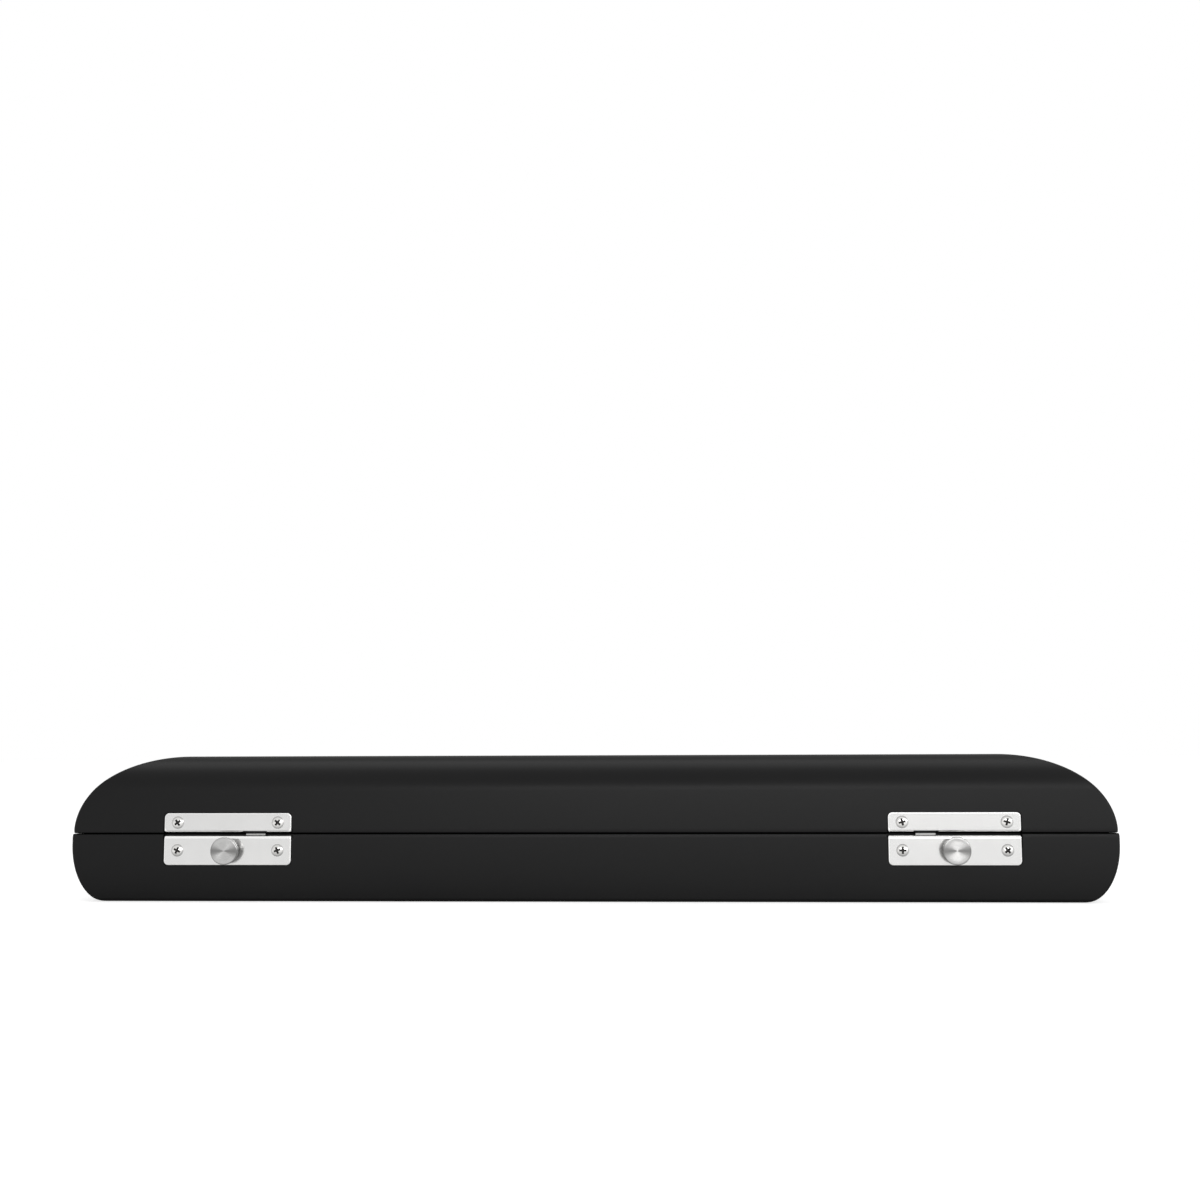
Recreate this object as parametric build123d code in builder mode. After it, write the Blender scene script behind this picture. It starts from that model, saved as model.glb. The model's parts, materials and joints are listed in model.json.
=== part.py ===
from build123d import *
from math import atan, cos, degrees, radians, sin
import os

# A hard flute case: a base and a lid on two rear hinges, shut by two spring slide latches,
# with a moulded tray for the three joints of a flute.  Millimetres, +Z up.
# X runs along the case, the latches are on the front (-Y) and the hinges on the rear (+Y).
# The origin is the middle of the base's flat underside.

os.makedirs("parts", exist_ok=True)

# ---- the two shells ----
case_length = 420.0
case_depth = 108.0
base_height = 27.0
lid_height = 30.9
wall = 2.5
seam_gap = 0.3              # between the two rims of the shut case
lid_inset = 0.5             # the lid is this much shorter than the base at each end
base_end_length = 13.8      # half axes of the quarter ellipse under each end of the base
base_end_height = 22.7
lid_end_length = 43.3       # half axis of the quarter ellipse that the lid's ends follow
shoulder_radius = 14.0      # from the lid's front and rear walls to its top
edge_radius = 1.4           # round the front and rear faces
rim_edge_radius = 0.7
lip_thickness = 1.5         # lip on the base's rim that locates the lid
lip_height = 2.0
lip_clearance = 0.4
lip_root = 6.0              # how far the thickened band behind the lip runs down

# ---- fits ----
seat_gap = 0.5              # round a plate in its shallow seat
running_gap = 0.15          # between the bolt and its channel
screw_fit = 0.05            # radial, between a screw and its hole
pin_fit = 0.05              # radial, between the hinge pin and its bores
shank_fit = 0.05            # radial, between the knob's shank and the bolt
tray_gap = 0.3              # round the tray in the base

# ---- screws ----
screw_head_radius = 2.4
screw_shank_radius = 1.2
screw_length = 4.0          # from the rim of the head to the tip
screw_dome = 0.55           # height of the raised head
screw_cross_width = 0.5     # of the cross at its floor
screw_cross_length = 2.5
screw_cross_depth = 0.9
screw_cross_taper = 12.0    # degrees
screw_hole_end = 0.3        # hole left beyond the tip

# ---- latches ----
latch_from_end = 64.5       # from the end of the case to the middle of each latch
plate_width = 52.0
latch_plate_height = 11.9
strike_plate_height = 7.6
latch_plate_drop = 0.6      # from the base's rim down to the latch plate
strike_plate_lift = 0.45    # from the lid's rim up to the strike plate
plate_thickness = 1.0
plate_seat_depth = 0.6
plate_corner_radius = 1.8
latch_bend_radius = 1.3     # where each plate turns in at the seam
strike_bend_radius = 0.8
plate_edge_radius = 0.35
flange_depth = 1.5
screw_spacing = 41.0
strike_screw_height = 3.8   # above the strike plate's lower edge
boss_margin = 1.5           # of the thickened wall behind a plate
knob_radius = 5.5
knob_height = 4.5
knob_gap = 0.3              # between the knob and the latch plate
knob_edge_radius = 0.45
knob_dish = 0.15            # hollow of the knob's face
knob_waist = 0.5            # the knob's side is this much narrower at its foot
shank_radius = 1.6
rivet_radius = 2.2
rivet_height = 0.6
latch_travel = 3.6
bolt_thickness = 1.6
bolt_front_gap = 0.2        # between the bolt and the latch plate
bolt_half_height = 3.0
bolt_end = 5.0              # outboard end of the bolt, from the knob's axis
nose_half_height = 2.0
nose_reach = 2.4            # how far the bolt's nose goes into the tongue
nose_slope = 1.5
tongue_outer = 7.2          # outboard and inboard edges of the tongue, from the knob's axis
tongue_inner = 15.0
tongue_thickness = 1.0
tongue_front_gap = 0.7      # between the tongue and the latch plate, for its swing
tongue_hook = 2.6           # height of the hook below the tongue's notch
tongue_slope = 2.2
tongue_gap = 0.4            # beside the tongue in its slots
notch_gap = 0.3             # round the nose in the tongue's notch
notch_width = 9.8           # opening in the strike plate's lower edge, over the tongue
notch_height = 0.4
spring_radius = 1.2
spring_wire = 0.36
spring_length = 11.5
spring_coils = 9
spring_gap = 0.1

# ---- hinges ----
hinge_from_end = 80.0
hinge_width = 34.0
hinge_height = 12.0         # from the hinge's axis to the far edge of each leaf
leaf_thickness = 1.0
barrel_radius = 2.2
barrel_gap = 0.2            # between the barrel and the shells
pin_radius = 1.1
pin_end_gap = 0.15
knuckle_count = 5
knuckle_gap = 0.25
leaf_corner_radius = 1.5
leaf_screw_spacing = 20.0
lid_opening = 105.0         # degrees, where the stop lugs meet the base's leaves
lug_thickness = 1.2
lug_length = 4.4
lug_gap = 0.1

# ---- tray and lid pad ----
tray_top = 24.5
tray_floor = 6.0            # height of the recesses' floors
tray_end_margin = 17.3      # tray left beyond the recesses at each end
recess_lip_radius = 1.5     # along the top of the blocks
body_recess_width = 36.0
head_recess_length = 228.0
head_recess_width = 26.0
lip_plate_bay_length = 46.0
lip_plate_bay_centre = 62.0     # from the outer end of the head joint's recess
recess_divider = 10.0       # between the recesses of the head joint and the foot joint
rod_slot_end_margin = 20.0  # the rod's slot is this much shorter than the recesses, at each end
rod_slot_width = 7.0
rod_slot_depth = 8.0
tray_margin = 5.6           # tray left in front of the first row and behind the last
recess_spacing = 5.2        # tray left between two rows
board_thickness = 1.5
board_corner_radius = 7.0
board_margin = 0.5          # between the board's edge and the end of the lid's flat top
pad_thickness = 13.0
pad_overhang = 2.0          # the pad's cover is this much wider than its board, all round
pad_edge_radius = 4.0

# ---- places worked out from the sizes above ----
half_length = case_length / 2
half_depth = case_depth / 2
lid_half_length = half_length - lid_inset
lid_rim = base_height + seam_gap
lid_top = lid_rim + lid_height
latch_x = half_length - latch_from_end
hinge_x = half_length - hinge_from_end
boss_depth = wall + lip_clearance + lip_thickness
boss_y = half_depth - boss_depth

seat_y = plate_seat_depth - half_depth
plate_face_y = seat_y - plate_thickness
flange_y = seat_y + flange_depth
bolt_front_y = seat_y + bolt_front_gap
bolt_back_y = bolt_front_y + bolt_thickness
channel_y = bolt_back_y + running_gap
tongue_front_y = seat_y + tongue_front_gap
tongue_back_y = tongue_front_y + tongue_thickness
latch_high = base_height - latch_plate_drop
latch_low = latch_high - latch_plate_height
strike_low = lid_rim + strike_plate_lift
strike_high = strike_low + strike_plate_height
strike_screw_z = strike_low + strike_screw_height
knob_z = (latch_low + latch_high) / 2
notch_low = knob_z - nose_half_height - notch_gap
notch_high = knob_z + nose_half_height + notch_gap
tongue_tip_z = notch_low - tongue_hook
spring_y = bolt_front_y + spring_radius
spring_start = bolt_end + spring_gap
sink_angle = 2 * degrees(atan((screw_head_radius - screw_shank_radius) / plate_thickness))
screw_hole_depth = screw_length + screw_hole_end
dome_radius = (screw_head_radius**2 + screw_dome**2) / (2 * screw_dome)

axis_y = half_depth + barrel_radius + barrel_gap
axis_z = base_height + seam_gap / 2
leaf_face_y = half_depth + leaf_thickness
leaf_screw_drop = (barrel_radius + hinge_height) / 2
knuckle_width = (hinge_width - (knuckle_count - 1) * knuckle_gap) / knuckle_count
hinge_boss_half = hinge_width / 2 + boss_margin

board_length = 2 * (lid_half_length - lid_end_length - board_margin)
board_width = 2 * (half_depth - shoulder_radius - board_margin)
board_top = lid_top - wall
pad_top = board_top - board_thickness
front_plane = Plane.XZ.offset(half_depth)
seat_plane = Plane.XZ.offset(-seat_y)
rear_plane = Plane.XZ.offset(-half_depth)
sides = {"left": -1, "right": 1}


def block(x, y, z, mode=Mode.ADD):
    """A box between the two limits given on each axis."""
    with Locations((sum(x) / 2, sum(y) / 2, sum(z) / 2)):
        Box(abs(x[1] - x[0]), abs(y[1] - y[0]), abs(z[1] - z[0]), mode=mode)


def about(centre, half):
    return (centre - half, centre + half)


def round_faces(form, rim_z):
    """Round the edges of the front and rear faces, all but the ones in the plane of the rim."""
    fillet(
        form.edges().filter_by(
            lambda edge: abs(edge.center().Y) > half_depth - 0.01 and abs(edge.center().Z - rim_z) > 0.01
        ),
        edge_radius,
    )


def base_form(inset):
    """The base's outer form, or its cavity when inset is the wall."""
    half = half_length - inset
    end_length = base_end_length - inset
    end_height = base_end_height - inset
    straight = half - end_length
    with BuildPart() as form:
        with BuildSketch(Plane.XZ.offset(inset - half_depth)):
            with BuildLine():
                Line((-straight, inset), (straight, inset))
                EllipticalCenterArc(
                    (straight, base_end_height), end_length, end_height, start_angle=270, arc_size=90
                )
                Polyline(
                    (half, base_end_height), (half, base_height),
                    (-half, base_height), (-half, base_end_height),
                )
                EllipticalCenterArc(
                    (-straight, base_end_height), end_length, end_height, start_angle=180, arc_size=90
                )
            make_face()
        extrude(amount=case_depth - 2 * inset)
        if inset == 0:
            round_faces(form, base_height)
    return form.part


def lid_form(inset):
    """The lid's outer form, or its cavity when inset is the wall."""
    half = lid_half_length - inset
    end_length = lid_end_length - inset
    height = lid_height - inset
    straight = half - end_length
    side = half_depth - inset
    radius = shoulder_radius - inset
    top = lid_rim + height
    with BuildPart() as form:
        with BuildSketch(Plane.XZ.offset(-side)):
            with BuildLine():
                Line((-half, lid_rim), (half, lid_rim))
                EllipticalCenterArc((straight, lid_rim), end_length, height, start_angle=0, arc_size=90)
                Line((straight, top), (-straight, top))
                EllipticalCenterArc((-straight, lid_rim), end_length, height, start_angle=90, arc_size=90)
            make_face()
        extrude(amount=2 * side)
        if inset == 0:
            round_faces(form, lid_rim)
        with BuildSketch(Plane.YZ.offset(-half)):
            with BuildLine():
                Polyline((side, top - radius), (side, lid_rim), (-side, lid_rim), (-side, top - radius))
                RadiusArc((-side, top - radius), (-side + radius, top), radius)
                Line((-side + radius, top), (side - radius, top))
                RadiusArc((side - radius, top), (side, top - radius), radius)
            make_face()
        extrude(amount=2 * half, mode=Mode.INTERSECT)
    return form.part


def plate_outline(plane, x, z, width, radius, rounded_row):
    """A rectangle with two rounded corners: rounded_row 0 is its lower edge, -1 its upper edge."""
    with BuildSketch(plane) as outline:
        with Locations((x, sum(z) / 2)):
            Rectangle(width, z[1] - z[0])
        fillet(outline.vertices().group_by(Axis.Y)[rounded_row], radius)
    return outline.sketch


def screw_planes(x, y, z, spacing, outward, turns=(0, 0)):
    """Where a pair of screws sits: Z of each plane points out of the case, X along the cross."""
    planes = []
    for offset, turn in zip((-spacing / 2, spacing / 2), turns):
        along = (cos(radians(turn)), 0, sin(radians(turn)))
        planes.append(Plane(origin=(x + offset, y, z), x_dir=along, z_dir=(0, outward, 0)))
    return planes


def cross_head_screw():
    """A raised countersunk screw along Z, with the rim of its head at z = 0."""
    with BuildPart() as screw:
        with BuildSketch(Plane.XZ):
            with BuildLine():
                Polyline(
                    (0, screw_dome), (0, -screw_length), (screw_shank_radius / 2, -screw_length),
                    (screw_shank_radius, screw_shank_radius / 2 - screw_length),
                    (screw_shank_radius, -plate_thickness), (screw_head_radius, 0),
                )
                RadiusArc((screw_head_radius, 0), (0, screw_dome), -dome_radius)
            make_face()
        revolve(axis=Axis.Z)
        for size in ((screw_cross_length, screw_cross_width), (screw_cross_width, screw_cross_length)):
            with BuildSketch(Plane.XY.offset(screw_dome - screw_cross_depth)):
                Rectangle(*size)
            extrude(amount=2 * screw_cross_depth, taper=-screw_cross_taper, mode=Mode.SUBTRACT)
    return screw.part


def finish(builder, name):
    builder.part.label = name
    export_step(builder.part, f"parts/{name}.step")


base_cavity = base_form(wall)
lid_cavity = lid_form(wall)
one_screw = cross_head_screw()

# ---- base shell ----
lip_half_x = lid_half_length - wall - lip_clearance
lip_half_y = half_depth - wall - lip_clearance
lip_inner_x = lip_half_x - lip_thickness

with BuildPart() as base_shell:
    add(base_form(0))
    fillet(base_shell.faces().sort_by(Axis.Z)[-1].edges(), rim_edge_radius)
    add(base_cavity, mode=Mode.SUBTRACT)
    # the band behind the lip, then the lip itself
    with BuildSketch(Plane.XY.offset(base_height - lip_root)):
        Rectangle(2 * (half_length - wall), 2 * (half_depth - wall))
        Rectangle(2 * lip_inner_x, 2 * boss_y, mode=Mode.SUBTRACT)
    extrude(amount=lip_root)
    with BuildSketch(Plane.XY.offset(base_height)):
        Rectangle(2 * lip_half_x, 2 * lip_half_y)
        Rectangle(2 * lip_inner_x, 2 * boss_y, mode=Mode.SUBTRACT)
    extrude(amount=lip_height)
    for side in sides.values():
        x = side * latch_x
        hinge_screw_z = axis_z - leaf_screw_drop
        # thicker wall behind the latch and behind the hinge
        block(
            about(x, plate_width / 2 + boss_margin),
            (wall - half_depth, -boss_y),
            (latch_low - boss_margin, base_height),
        )
        block(
            about(side * hinge_x, hinge_boss_half),
            (boss_y, half_depth - wall),
            (axis_z - hinge_height - boss_margin, base_height),
        )
        # seat of the latch plate, open at the rim, and the channel for its flange
        seat = (latch_low - seat_gap, base_height)
        seat_corner = plate_corner_radius + seat_gap
        extrude(
            plate_outline(front_plane, x, seat, plate_width + 2 * seat_gap, seat_corner, 0),
            amount=-plate_seat_depth, mode=Mode.SUBTRACT,
        )
        block(
            about(x, plate_width / 2 + seat_gap),
            (seat_y, flange_y + running_gap),
            (latch_high - plate_thickness - running_gap, base_height),
            mode=Mode.SUBTRACT,
        )
        # channel of the bolt, pocket of the tongue, spring and rivet
        block(
            (x - side * (tongue_outer + nose_reach + tongue_gap), x + side * (bolt_end + latch_travel + tongue_gap)),
            (seat_y, channel_y),
            about(knob_z, bolt_half_height + running_gap),
            mode=Mode.SUBTRACT,
        )
        block(
            (x - side * (tongue_inner + tongue_gap), x - side * (tongue_outer - tongue_gap)),
            (seat_y, channel_y),
            (tongue_tip_z - tongue_gap, base_height),
            mode=Mode.SUBTRACT,
        )
        block(
            (x + side * bolt_end, x + side * (spring_start + spring_length + spring_gap)),
            (seat_y, spring_y + spring_radius + running_gap),
            about(knob_z, spring_radius + running_gap),
            mode=Mode.SUBTRACT,
        )
        rivet_room = rivet_radius + tongue_gap
        block(
            (x - side * rivet_room, x + side * (latch_travel + rivet_room)),
            (seat_y, bolt_back_y + rivet_height + running_gap),
            about(knob_z, rivet_room),
            mode=Mode.SUBTRACT,
        )
        with Locations(*screw_planes(x, plate_face_y, knob_z, screw_spacing, -1)):
            Hole(screw_shank_radius + screw_fit, depth=screw_hole_depth)
        with Locations(*screw_planes(side * hinge_x, leaf_face_y, hinge_screw_z, leaf_screw_spacing, 1)):
            Hole(screw_shank_radius + screw_fit, depth=screw_hole_depth)
finish(base_shell, "base_shell")

# ---- lid shell ----
lid_boss_low = base_height + lip_height + lip_clearance

with BuildPart() as lid_shell:
    add(lid_form(0))
    fillet(lid_shell.faces().sort_by(Axis.Z)[0].edges(), rim_edge_radius)
    add(lid_cavity, mode=Mode.SUBTRACT)
    for side in sides.values():
        x = side * latch_x
        hinge_screw_z = axis_z + leaf_screw_drop
        block(
            about(x, plate_width / 2 + boss_margin),
            (wall - half_depth, -boss_y),
            (lid_boss_low, strike_high + boss_margin),
        )
        block(
            about(side * hinge_x, hinge_boss_half),
            (boss_y, half_depth - wall),
            (lid_boss_low, axis_z + hinge_height + boss_margin),
        )
        # seat of the strike plate, open at the rim, and the channels for its flange and tongue
        seat = (lid_rim, strike_high + seat_gap)
        seat_corner = plate_corner_radius + seat_gap
        extrude(
            plate_outline(front_plane, x, seat, plate_width + 2 * seat_gap, seat_corner, -1),
            amount=-plate_seat_depth, mode=Mode.SUBTRACT,
        )
        block(
            about(x, plate_width / 2 + seat_gap),
            (seat_y, flange_y + running_gap),
            (lid_rim, strike_low + plate_thickness + running_gap),
            mode=Mode.SUBTRACT,
        )
        block(
            (x - side * (tongue_inner + running_gap), x - side * (tongue_outer - running_gap)),
            (seat_y, tongue_back_y + running_gap),
            (lid_rim, strike_screw_z + running_gap),
            mode=Mode.SUBTRACT,
        )
        with Locations(*screw_planes(x, plate_face_y, strike_screw_z, screw_spacing, -1)):
            Hole(screw_shank_radius + screw_fit, depth=screw_hole_depth)
        with Locations(*screw_planes(side * hinge_x, leaf_face_y, hinge_screw_z, leaf_screw_spacing, 1)):
            Hole(screw_shank_radius + screw_fit, depth=screw_hole_depth)
finish(lid_shell, "lid_shell")

# ---- latches, one on each side, mirror images of each other ----
latch_turns = {"left": (65, 20), "right": (0, 40)}
strike_turns = {"left": (35, 50), "right": (15, 75)}

for name, side in sides.items():
    x = side * latch_x
    plate_x = about(x, plate_width / 2)
    tongue_x = (x - side * tongue_inner, x - side * tongue_outer)

    with BuildPart() as latch_plate:
        extrude(
            plate_outline(seat_plane, x, (latch_low, latch_high), plate_width, plate_corner_radius, 0),
            amount=plate_thickness,
        )
        block(plate_x, (seat_y, flange_y), (latch_high - plate_thickness, latch_high))
        bend = latch_plate.edges().filter_by(Axis.X).group_by(Axis.Z)[-1].sort_by(Axis.Y)[0]
        fillet(bend, latch_bend_radius)
        front_edges = latch_plate.faces().sort_by(Axis.Y)[0].edges().filter_by(
            lambda edge: edge.center().Z < latch_high - latch_bend_radius - 0.01
        )
        fillet(front_edges, plate_edge_radius)
        # the tongue passes through the flange, the knob's shank through a slot in the face
        block(
            (tongue_x[0] - side * tongue_gap, tongue_x[1] + side * tongue_gap),
            (seat_y, flange_y),
            (latch_high - plate_thickness, latch_high),
            mode=Mode.SUBTRACT,
        )
        with BuildSketch(seat_plane):
            with Locations((x + side * latch_travel / 2, knob_z)):
                SlotCenterToCenter(latch_travel, 2 * (shank_radius + running_gap))
        extrude(amount=plate_thickness, mode=Mode.SUBTRACT)
        with Locations(*screw_planes(x, plate_face_y, knob_z, screw_spacing, -1)):
            CounterSinkHole(
                screw_shank_radius + screw_fit, screw_head_radius + screw_fit,
                depth=plate_thickness, counter_sink_angle=sink_angle,
            )
    finish(latch_plate, f"{name}_latch_plate")

    with BuildPart() as strike_plate:
        extrude(
            plate_outline(seat_plane, x, (strike_low, strike_high), plate_width, plate_corner_radius, -1),
            amount=plate_thickness,
        )
        block(plate_x, (seat_y, flange_y), (strike_low, strike_low + plate_thickness))
        bend = strike_plate.edges().filter_by(Axis.X).group_by(Axis.Z)[0].sort_by(Axis.Y)[0]
        fillet(bend, strike_bend_radius)
        front_edges = strike_plate.faces().sort_by(Axis.Y)[0].edges().filter_by(
            lambda edge: edge.center().Z > strike_low + strike_bend_radius + 0.01
        )
        fillet(front_edges, plate_edge_radius)
        notch_x = about(x - side * (tongue_inner + tongue_outer) / 2, notch_width / 2)
        block(notch_x, (plate_face_y, seat_y), (strike_low, strike_low + notch_height), mode=Mode.SUBTRACT)
        block(notch_x, (seat_y, flange_y), (strike_low, strike_low + plate_thickness), mode=Mode.SUBTRACT)
        # the tongue steps back behind the plate and hooks over the bolt's nose
        block(tongue_x, (seat_y, tongue_back_y), (strike_low + notch_height, strike_screw_z))
        notch_floor = tongue_outer + nose_reach + notch_gap
        with BuildSketch(Plane.XZ.offset(-tongue_back_y)):
            with BuildLine():
                Polyline(
                    (x - side * tongue_inner, strike_screw_z), (x - side * tongue_outer, strike_screw_z),
                    (x - side * tongue_outer, notch_high), (x - side * notch_floor, notch_high),
                    (x - side * notch_floor, notch_low), (x - side * tongue_outer, notch_low),
                    (x - side * tongue_outer, tongue_tip_z + tongue_slope),
                    (x - side * (tongue_outer + tongue_slope), tongue_tip_z),
                    (x - side * tongue_inner, tongue_tip_z), (x - side * tongue_inner, strike_screw_z),
                )
            make_face()
        extrude(amount=tongue_thickness)
        with Locations(*screw_planes(x, plate_face_y, strike_screw_z, screw_spacing, -1)):
            CounterSinkHole(
                screw_shank_radius + screw_fit, screw_head_radius + screw_fit,
                depth=plate_thickness, counter_sink_angle=sink_angle,
            )
    finish(strike_plate, f"{name}_strike_plate")

    with BuildPart() as bolt:
        body_start = tongue_outer - tongue_gap
        nose_tip = tongue_outer + nose_reach
        with BuildSketch(Plane.XZ.offset(-bolt_back_y)):
            with BuildLine():
                Polyline(
                    (x - side * nose_tip, knob_z - nose_half_height),
                    (x - side * body_start, knob_z - nose_half_height),
                    (x - side * body_start, knob_z - bolt_half_height),
                    (x + side * bolt_end, knob_z - bolt_half_height),
                    (x + side * bolt_end, knob_z + bolt_half_height),
                    (x - side * body_start, knob_z + bolt_half_height),
                    (x - side * body_start, knob_z + nose_half_height),
                    (x - side * (nose_tip - nose_slope), knob_z + nose_half_height),
                    (x - side * nose_tip, knob_z + nose_half_height - nose_slope),
                    close=True,
                )
            make_face()
            with Locations((x, knob_z)):
                Circle(shank_radius + shank_fit, mode=Mode.SUBTRACT)
        extrude(amount=bolt_thickness)
    finish(bolt, f"{name}_latch_bolt")

    with BuildPart() as knob:
        foot = plate_face_y - knob_gap
        top = foot - knob_height
        rivet_end = bolt_back_y + rivet_height
        with BuildSketch(Plane.XY.offset(knob_z)) as profile:
            with BuildLine():
                Polyline(
                    (x, top + knob_dish), (x + knob_radius - 2 * knob_edge_radius, top),
                    (x + knob_radius, top), (x + knob_radius - knob_waist, foot),
                    (x + shank_radius, foot), (x + shank_radius, bolt_back_y),
                    (x + rivet_radius, bolt_back_y), (x + rivet_radius, rivet_end), (x, rivet_end),
                    close=True,
                )
            make_face()
            fillet(profile.vertices().sort_by(Axis.X)[-1], knob_edge_radius)
        revolve(axis=Axis((x, 0, knob_z), (0, 1, 0)))
    finish(knob, f"{name}_latch_knob")

    with BuildPart() as spring:
        coil_radius = spring_radius - spring_wire / 2
        with BuildLine() as coil:
            Helix(
                spring_length / spring_coils, spring_length - spring_wire, coil_radius,
                center=(x + side * (spring_start + spring_wire / 2), spring_y, knob_z),
                direction=(side, 0, 0),
            )
        with BuildSketch(Plane(origin=coil.line @ 0, z_dir=coil.line % 0)):
            Circle(spring_wire / 2)
        sweep(path=coil.line, is_frenet=True)
    finish(spring, f"{name}_latch_spring")

    with BuildPart() as latch_screws:
        with Locations(*screw_planes(x, plate_face_y, knob_z, screw_spacing, -1, latch_turns[name])):
            add(one_screw)
    finish(latch_screws, f"{name}_latch_screws")

    with BuildPart() as strike_screws:
        with Locations(*screw_planes(x, plate_face_y, strike_screw_z, screw_spacing, -1, strike_turns[name])):
            add(one_screw)
    finish(strike_screws, f"{name}_strike_screws")

# ---- hinges ----
leaf_turns = {"left": (25, 70), "right": (50, 10)}

for name, side in sides.items():
    x = side * hinge_x
    knuckle_starts = [x - hinge_width / 2 + k * (knuckle_width + knuckle_gap) for k in range(knuckle_count)]

    for part, up, starts in (("base", -1, knuckle_starts[0::2]), ("lid", 1, knuckle_starts[1::2])):
        near = axis_z + up * barrel_radius
        far = axis_z + up * hinge_height
        screw_z = axis_z + up * leaf_screw_drop
        with BuildPart() as leaf:
            row = 0 if up < 0 else -1
            outline = plate_outline(
                rear_plane, x, (min(near, far), max(near, far)), hinge_width, leaf_corner_radius, row
            )
            extrude(outline, amount=-leaf_thickness)
            for start in starts:
                block((start, start + knuckle_width), (half_depth, leaf_face_y), (near, axis_z))
                with BuildSketch(Plane.YZ.offset(start)):
                    with Locations((axis_y, axis_z)):
                        Circle(barrel_radius)
                extrude(amount=knuckle_width)
                if part == "lid":
                    # drawn as it stands when the lid is fully open, against the base's leaf
                    turned = Plane(
                        origin=(start, axis_y, axis_z),
                        x_dir=(0, cos(radians(lid_opening)), sin(radians(lid_opening))),
                        z_dir=(1, 0, 0),
                    )
                    with BuildSketch(turned):
                        with Locations((leaf_face_y - axis_y + lug_gap + lug_thickness / 2, -lug_length / 2)):
                            Rectangle(lug_thickness, lug_length)
                    extrude(amount=knuckle_width)
            with BuildSketch(Plane.YZ.offset(x - hinge_width / 2)):
                with Locations((axis_y, axis_z)):
                    Circle(pin_radius + pin_fit)
            extrude(amount=hinge_width, mode=Mode.SUBTRACT)
            with Locations(*screw_planes(x, leaf_face_y, screw_z, leaf_screw_spacing, 1)):
                CounterSinkHole(
                    screw_shank_radius + screw_fit, screw_head_radius + screw_fit,
                    depth=leaf_thickness, counter_sink_angle=sink_angle,
                )
        finish(leaf, f"{name}_hinge_{part}_leaf")

        with BuildPart() as leaf_screws:
            with Locations(*screw_planes(x, leaf_face_y, screw_z, leaf_screw_spacing, 1, leaf_turns[name])):
                add(one_screw)
        finish(leaf_screws, f"{name}_hinge_{part}_screws")

    with BuildPart() as pin:
        with BuildSketch(Plane.YZ.offset(x - hinge_width / 2 + pin_end_gap)):
            with Locations((axis_y, axis_z)):
                Circle(pin_radius)
        extrude(amount=hinge_width - 2 * pin_end_gap)
    finish(pin, f"{name}_hinge_pin")

# ---- tray: plush-covered foam blocks on a floor pad, fitted round the joints ----
tray_half_x = lip_inner_x - tray_gap
tray_half_y = boss_y - tray_gap
recess_half = tray_half_x - tray_end_margin
front_rail_back = tray_margin - tray_half_y
middle_rail_front = front_rail_back + body_recess_width
rod_y = middle_rail_front + recess_spacing + rod_slot_width / 2
middle_rail_back = rod_y + rod_slot_width / 2 + recess_spacing
rear_rail_front = tray_half_y - tray_margin
strip_width = (rear_rail_front - middle_rail_back - head_recess_width) / 2
head_end = head_recess_length - recess_half
bay_x = about(lip_plate_bay_centre - recess_half, lip_plate_bay_length / 2)
block_z = (tray_floor, tray_top)
tray_form = base_form(wall + tray_gap)

with BuildPart() as floor_pad:
    add(tray_form)
    block(about(0, tray_half_x), about(0, tray_half_y), (0, tray_floor), mode=Mode.INTERSECT)
finish(floor_pad, "tray_floor_pad")

rails = {
    "tray_front_rail": (-tray_half_y, front_rail_back),
    "tray_middle_rail": (middle_rail_front, middle_rail_back),
    "tray_rear_rail": (rear_rail_front, tray_half_y),
}

for name, rail_y in rails.items():
    with BuildPart() as rail:
        block(about(0, recess_half), rail_y, block_z)
        if name == "tray_middle_rail":
            with BuildSketch(Plane.XY.offset(tray_top)):
                with Locations((0, rod_y)):
                    SlotOverall(2 * (recess_half - rod_slot_end_margin), rod_slot_width)
            extrude(amount=-rod_slot_depth, mode=Mode.SUBTRACT)
        top_edges = rail.faces().sort_by(Axis.Z)[-1].edges()
        fillet(top_edges.filter_by(Axis.Y, reverse=True), recess_lip_radius)
    finish(rail, name)

for name, side in sides.items():
    with BuildPart() as end_block:
        add(tray_form)
        block(
            (side * recess_half, side * tray_half_x), about(0, tray_half_y), block_z,
            mode=Mode.INTERSECT,
        )
        top_edges = end_block.faces().sort_by(Axis.Z)[-1].edges()
        fillet(top_edges.filter_by(Axis.Y).sort_by(lambda edge: abs(edge.center().X))[0], recess_lip_radius)
    finish(end_block, f"tray_{name}_block")

with BuildPart() as divider:
    block((head_end, head_end + recess_divider), (middle_rail_back, rear_rail_front), block_z)
    fillet(divider.faces().sort_by(Axis.Z)[-1].edges().filter_by(Axis.Y), recess_lip_radius)
finish(divider, "tray_divider")

# strips that narrow the head joint's recess on both sides of its lip plate
with BuildPart() as strips:
    for strip_x in ((-recess_half, bay_x[0]), (bay_x[1], head_end)):
        block(strip_x, (middle_rail_back, middle_rail_back + strip_width), block_z)
        block(strip_x, (rear_rail_front - strip_width, rear_rail_front), block_z)
finish(strips, "tray_head_strips")

# ---- lid pad ----
with BuildPart() as lid_pad_board:
    with BuildSketch(Plane.XY.offset(pad_top)):
        RectangleRounded(board_length, board_width, board_corner_radius)
    extrude(amount=board_thickness)
finish(lid_pad_board, "lid_pad_board")

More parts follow.
